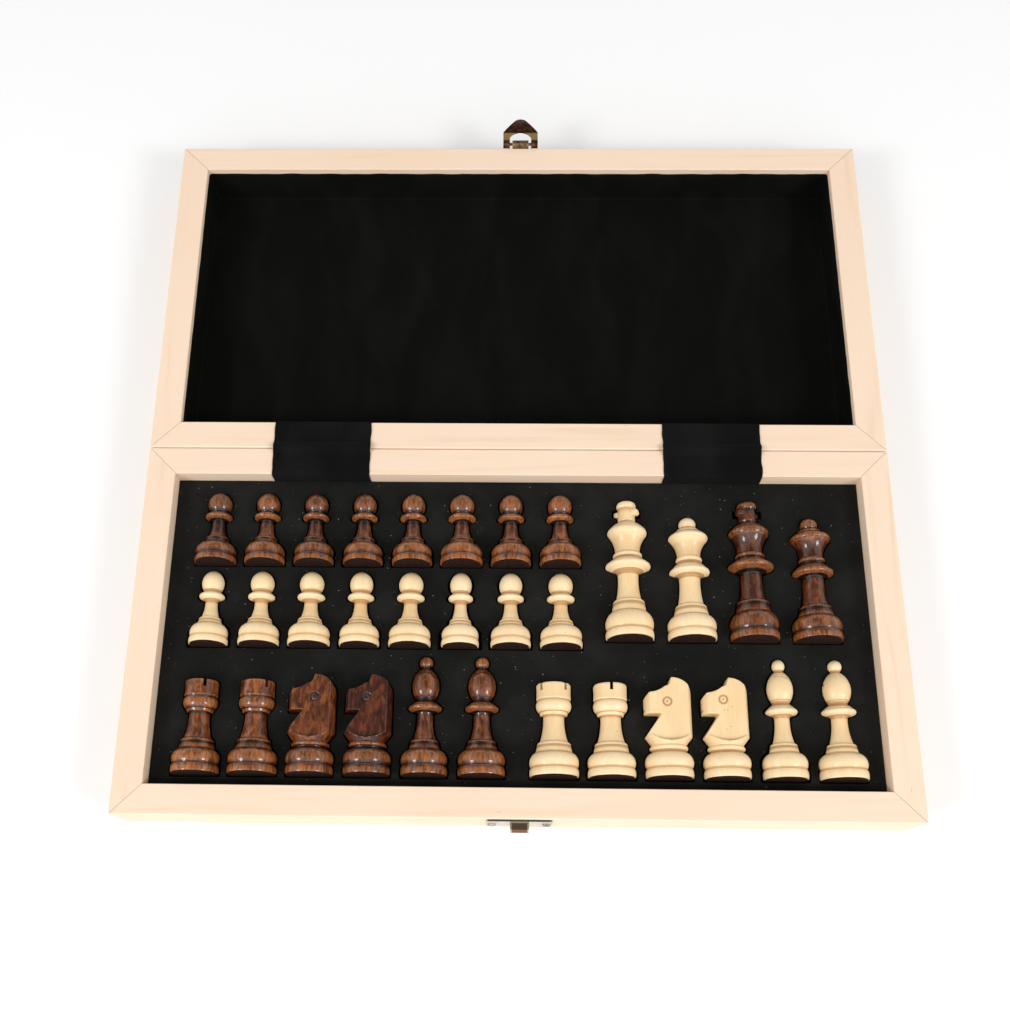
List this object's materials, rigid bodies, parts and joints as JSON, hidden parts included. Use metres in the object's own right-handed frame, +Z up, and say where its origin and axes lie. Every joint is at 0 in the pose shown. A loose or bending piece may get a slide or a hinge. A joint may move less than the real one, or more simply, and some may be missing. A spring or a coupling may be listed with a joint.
{
  "type": "folding chess set",
  "caption": "Folding wooden chess box, open flat: hinged lined lid, latch, foam tray with turned men lying in fitted pockets, and the playing board on its outer faces.",
  "frame": {"origin": "on the table at the middle of the seam between the two halves, box open flat", "axes": "+X to the right along the seam, +Y towards the lid's latch, +Z up"},
  "size_m": [0.39, 0.415, 0.0323],
  "materials": {
    "frame_wood": "bare sanded pine, fine straight grain",
    "panel_wood": "plywood, satin lacquer",
    "light_squares": "light veneer, satin lacquer",
    "dark_squares": "dark veneer, satin lacquer",
    "brown_wood": "stained and varnished, semi-gloss",
    "white_wood": "clear varnish, satin",
    "lining_cloth": "flocked",
    "strap_cloth": "brushed",
    "foam": "closed-cell foam, matte",
    "hinge_metal": "brass plated",
    "screw_metal": "brass plated",
    "latch_metal": "bright plated",
    "hasp_metal": "antique bronze with bright edges",
    "catch_metal": "nickel and brass plated"
  },
  "bodies": {
    "base": {"base_latch_rail": "frame_wood", "base_hinge_rail": "frame_wood", "base_left_rail": "frame_wood", "base_right_rail": "frame_wood", "base_panel": "panel_wood", "base_light_squares": "light_squares", "base_dark_squares": "dark_squares", "base_hinge_leaves": "hinge_metal", "base_screws": "screw_metal", "foam_tray": "foam", "hinge_pins": "hinge_metal", "left_strap": "strap_cloth", "right_strap": "strap_cloth", "catch_plate": "catch_metal"},
    "lid": {"lid_latch_rail": "frame_wood", "lid_hinge_rail": "frame_wood", "lid_left_rail": "frame_wood", "lid_right_rail": "frame_wood", "lid_panel": "panel_wood", "lid_light_squares": "light_squares", "lid_dark_squares": "dark_squares", "lid_hinge_leaves": "hinge_metal", "lid_screws": "screw_metal", "lid_lining": "lining_cloth", "latch_plate": "latch_metal", "latch_pin": "latch_metal"},
    "hasp": {"latch_hasp": "hasp_metal"},
    "brown_pawn_1_body": {"brown_pawn_1": "brown_wood"},
    "brown_pawn_2_body": {"brown_pawn_2": "brown_wood"},
    "brown_pawn_3_body": {"brown_pawn_3": "brown_wood"},
    "brown_pawn_4_body": {"brown_pawn_4": "brown_wood"},
    "brown_pawn_5_body": {"brown_pawn_5": "brown_wood"},
    "brown_pawn_6_body": {"brown_pawn_6": "brown_wood"},
    "brown_pawn_7_body": {"brown_pawn_7": "brown_wood"},
    "brown_pawn_8_body": {"brown_pawn_8": "brown_wood"},
    "white_pawn_1_body": {"white_pawn_1": "white_wood"},
    "white_pawn_2_body": {"white_pawn_2": "white_wood"},
    "white_pawn_3_body": {"white_pawn_3": "white_wood"},
    "white_pawn_4_body": {"white_pawn_4": "white_wood"},
    "white_pawn_5_body": {"white_pawn_5": "white_wood"},
    "white_pawn_6_body": {"white_pawn_6": "white_wood"},
    "white_pawn_7_body": {"white_pawn_7": "white_wood"},
    "white_pawn_8_body": {"white_pawn_8": "white_wood"},
    "brown_king_body": {"brown_king": "brown_wood"},
    "brown_queen_body": {"brown_queen": "brown_wood"},
    "white_king_body": {"white_king": "white_wood"},
    "white_queen_body": {"white_queen": "white_wood"},
    "brown_rook_1_body": {"brown_rook_1": "brown_wood"},
    "brown_rook_2_body": {"brown_rook_2": "brown_wood"},
    "brown_knight_1_body": {"brown_knight_1": "brown_wood"},
    "brown_knight_2_body": {"brown_knight_2": "brown_wood"},
    "brown_bishop_1_body": {"brown_bishop_1": "brown_wood"},
    "brown_bishop_2_body": {"brown_bishop_2": "brown_wood"},
    "white_rook_1_body": {"white_rook_1": "white_wood"},
    "white_rook_2_body": {"white_rook_2": "white_wood"},
    "white_knight_1_body": {"white_knight_1": "white_wood"},
    "white_knight_2_body": {"white_knight_2": "white_wood"},
    "white_bishop_1_body": {"white_bishop_1": "white_wood"},
    "white_bishop_2_body": {"white_bishop_2": "white_wood"}
  },
  "joints": [
    {"name": "lid_hinge", "type": "hinge", "parent": "base", "child": "lid", "pos_m": [0, 0, 0.0287], "axis": [1, 0, 0], "range_deg": [0, 180], "deforming": ["left_strap", "right_strap"]},
    {"name": "hasp_hinge", "type": "hinge", "parent": "lid", "child": "hasp", "pos_m": [0.002, 0.1971, 0.0286], "axis": [1, 0, 0], "range_deg": [-90, 80]},
    {"name": "brown_pawn_1_lift", "type": "slide", "parent": "base", "child": "brown_pawn_1_body", "axis": [0, 0, 1], "range_m": [0, 0.055]},
    {"name": "brown_pawn_2_lift", "type": "slide", "parent": "base", "child": "brown_pawn_2_body", "axis": [0, 0, 1], "range_m": [0, 0.055]},
    {"name": "brown_pawn_3_lift", "type": "slide", "parent": "base", "child": "brown_pawn_3_body", "axis": [0, 0, 1], "range_m": [0, 0.055]},
    {"name": "brown_pawn_4_lift", "type": "slide", "parent": "base", "child": "brown_pawn_4_body", "axis": [0, 0, 1], "range_m": [0, 0.055]},
    {"name": "brown_pawn_5_lift", "type": "slide", "parent": "base", "child": "brown_pawn_5_body", "axis": [0, 0, 1], "range_m": [0, 0.055]},
    {"name": "brown_pawn_6_lift", "type": "slide", "parent": "base", "child": "brown_pawn_6_body", "axis": [0, 0, 1], "range_m": [0, 0.055]},
    {"name": "brown_pawn_7_lift", "type": "slide", "parent": "base", "child": "brown_pawn_7_body", "axis": [0, 0, 1], "range_m": [0, 0.055]},
    {"name": "brown_pawn_8_lift", "type": "slide", "parent": "base", "child": "brown_pawn_8_body", "axis": [0, 0, 1], "range_m": [0, 0.055]},
    {"name": "white_pawn_1_lift", "type": "slide", "parent": "base", "child": "white_pawn_1_body", "axis": [0, 0, 1], "range_m": [0, 0.055]},
    {"name": "white_pawn_2_lift", "type": "slide", "parent": "base", "child": "white_pawn_2_body", "axis": [0, 0, 1], "range_m": [0, 0.055]},
    {"name": "white_pawn_3_lift", "type": "slide", "parent": "base", "child": "white_pawn_3_body", "axis": [0, 0, 1], "range_m": [0, 0.055]},
    {"name": "white_pawn_4_lift", "type": "slide", "parent": "base", "child": "white_pawn_4_body", "axis": [0, 0, 1], "range_m": [0, 0.055]},
    {"name": "white_pawn_5_lift", "type": "slide", "parent": "base", "child": "white_pawn_5_body", "axis": [0, 0, 1], "range_m": [0, 0.055]},
    {"name": "white_pawn_6_lift", "type": "slide", "parent": "base", "child": "white_pawn_6_body", "axis": [0, 0, 1], "range_m": [0, 0.055]},
    {"name": "white_pawn_7_lift", "type": "slide", "parent": "base", "child": "white_pawn_7_body", "axis": [0, 0, 1], "range_m": [0, 0.055]},
    {"name": "white_pawn_8_lift", "type": "slide", "parent": "base", "child": "white_pawn_8_body", "axis": [0, 0, 1], "range_m": [0, 0.055]},
    {"name": "brown_king_lift", "type": "slide", "parent": "base", "child": "brown_king_body", "axis": [0, 0, 1], "range_m": [0, 0.055]},
    {"name": "brown_queen_lift", "type": "slide", "parent": "base", "child": "brown_queen_body", "axis": [0, 0, 1], "range_m": [0, 0.055]},
    {"name": "white_king_lift", "type": "slide", "parent": "base", "child": "white_king_body", "axis": [0, 0, 1], "range_m": [0, 0.055]},
    {"name": "white_queen_lift", "type": "slide", "parent": "base", "child": "white_queen_body", "axis": [0, 0, 1], "range_m": [0, 0.055]},
    {"name": "brown_rook_1_lift", "type": "slide", "parent": "base", "child": "brown_rook_1_body", "axis": [0, 0, 1], "range_m": [0, 0.055]},
    {"name": "brown_rook_2_lift", "type": "slide", "parent": "base", "child": "brown_rook_2_body", "axis": [0, 0, 1], "range_m": [0, 0.055]},
    {"name": "brown_knight_1_lift", "type": "slide", "parent": "base", "child": "brown_knight_1_body", "axis": [0, 0, 1], "range_m": [0, 0.055]},
    {"name": "brown_knight_2_lift", "type": "slide", "parent": "base", "child": "brown_knight_2_body", "axis": [0, 0, 1], "range_m": [0, 0.055]},
    {"name": "brown_bishop_1_lift", "type": "slide", "parent": "base", "child": "brown_bishop_1_body", "axis": [0, 0, 1], "range_m": [0, 0.055]},
    {"name": "brown_bishop_2_lift", "type": "slide", "parent": "base", "child": "brown_bishop_2_body", "axis": [0, 0, 1], "range_m": [0, 0.055]},
    {"name": "white_rook_1_lift", "type": "slide", "parent": "base", "child": "white_rook_1_body", "axis": [0, 0, 1], "range_m": [0, 0.055]},
    {"name": "white_rook_2_lift", "type": "slide", "parent": "base", "child": "white_rook_2_body", "axis": [0, 0, 1], "range_m": [0, 0.055]},
    {"name": "white_knight_1_lift", "type": "slide", "parent": "base", "child": "white_knight_1_body", "axis": [0, 0, 1], "range_m": [0, 0.055]},
    {"name": "white_knight_2_lift", "type": "slide", "parent": "base", "child": "white_knight_2_body", "axis": [0, 0, 1], "range_m": [0, 0.055]},
    {"name": "white_bishop_1_lift", "type": "slide", "parent": "base", "child": "white_bishop_1_body", "axis": [0, 0, 1], "range_m": [0, 0.055]},
    {"name": "white_bishop_2_lift", "type": "slide", "parent": "base", "child": "white_bishop_2_body", "axis": [0, 0, 1], "range_m": [0, 0.055]}
  ]
}
